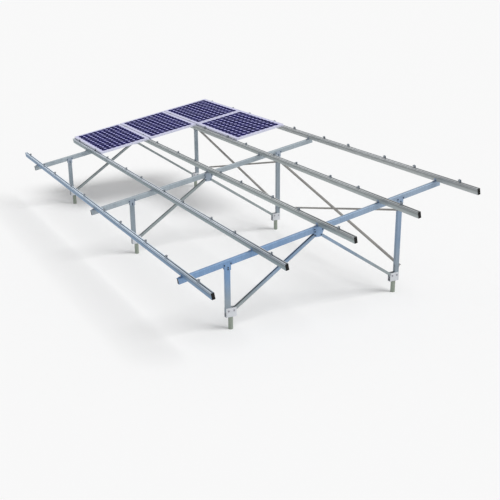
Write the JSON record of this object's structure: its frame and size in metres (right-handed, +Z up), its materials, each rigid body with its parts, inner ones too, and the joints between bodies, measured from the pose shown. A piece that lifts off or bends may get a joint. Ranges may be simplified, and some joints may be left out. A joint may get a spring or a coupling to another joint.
{
  "type": "solar panel ground mount",
  "caption": "Open bolted steel frame on ground screws, tilted, with slotted aluminium rails that carry framed solar modules at one end",
  "frame": {"origin": "on the ground, at the bottom centre of the whole mount", "axes": "+X along the rails, +Y from the low front to the high rear, +Z up"},
  "size_m": [8.53, 4.1084, 1.6983],
  "materials": {
    "screw_steel": "hot-dip galvanised, dull",
    "clamp_steel": "zinc, bright",
    "post_steel": "galvanised, satin",
    "rafter_steel": "galvanised, satin",
    "brace_steel": "galvanised, satin",
    "plate_steel": "galvanised, satin",
    "angle_steel": "galvanised, weathered",
    "rail_aluminium": "mill finish, satin",
    "frame_aluminium": "anodised silver, satin",
    "cell_glass": "glass over dark cells",
    "black_plastic": "matte"
  },
  "bodies": {
    "root": {"ground_screws": "screw_steel", "base_clamps_right": "clamp_steel", "base_clamps_middle": "clamp_steel", "base_clamps_left": "clamp_steel", "front_post_right": "post_steel", "front_post_middle": "post_steel", "front_post_left": "post_steel", "rear_post_right": "post_steel", "rear_post_middle": "post_steel", "rear_post_left": "post_steel", "rafter_right": "rafter_steel", "rafter_middle": "rafter_steel", "rafter_left": "rafter_steel", "front_brace_right": "brace_steel", "front_brace_middle": "brace_steel", "front_brace_left": "brace_steel", "rear_brace_right": "brace_steel", "rear_brace_middle": "brace_steel", "rear_brace_left": "brace_steel", "post_heads_right": "plate_steel", "post_heads_middle": "plate_steel", "post_heads_left": "plate_steel", "mid_gussets": "plate_steel", "rail_1": "rail_aluminium", "rail_2": "rail_aluminium", "rail_3": "rail_aluminium", "rail_4": "rail_aluminium", "rail_5": "rail_aluminium", "rail_end_caps": "black_plastic", "rail_cleats": "plate_steel", "cross_brace_right_inner": "angle_steel", "cross_brace_right_outer": "angle_steel", "cross_brace_left_inner": "angle_steel", "cross_brace_left_outer": "angle_steel", "module_frame_a": "frame_aluminium", "module_frame_b": "frame_aluminium", "module_frame_c": "frame_aluminium", "module_frame_d": "frame_aluminium", "module_laminate_a": "cell_glass", "module_laminate_b": "cell_glass", "module_laminate_c": "cell_glass", "module_laminate_d": "cell_glass", "junction_boxes": "black_plastic", "module_clamps": "frame_aluminium"}
  },
  "joints": []
}
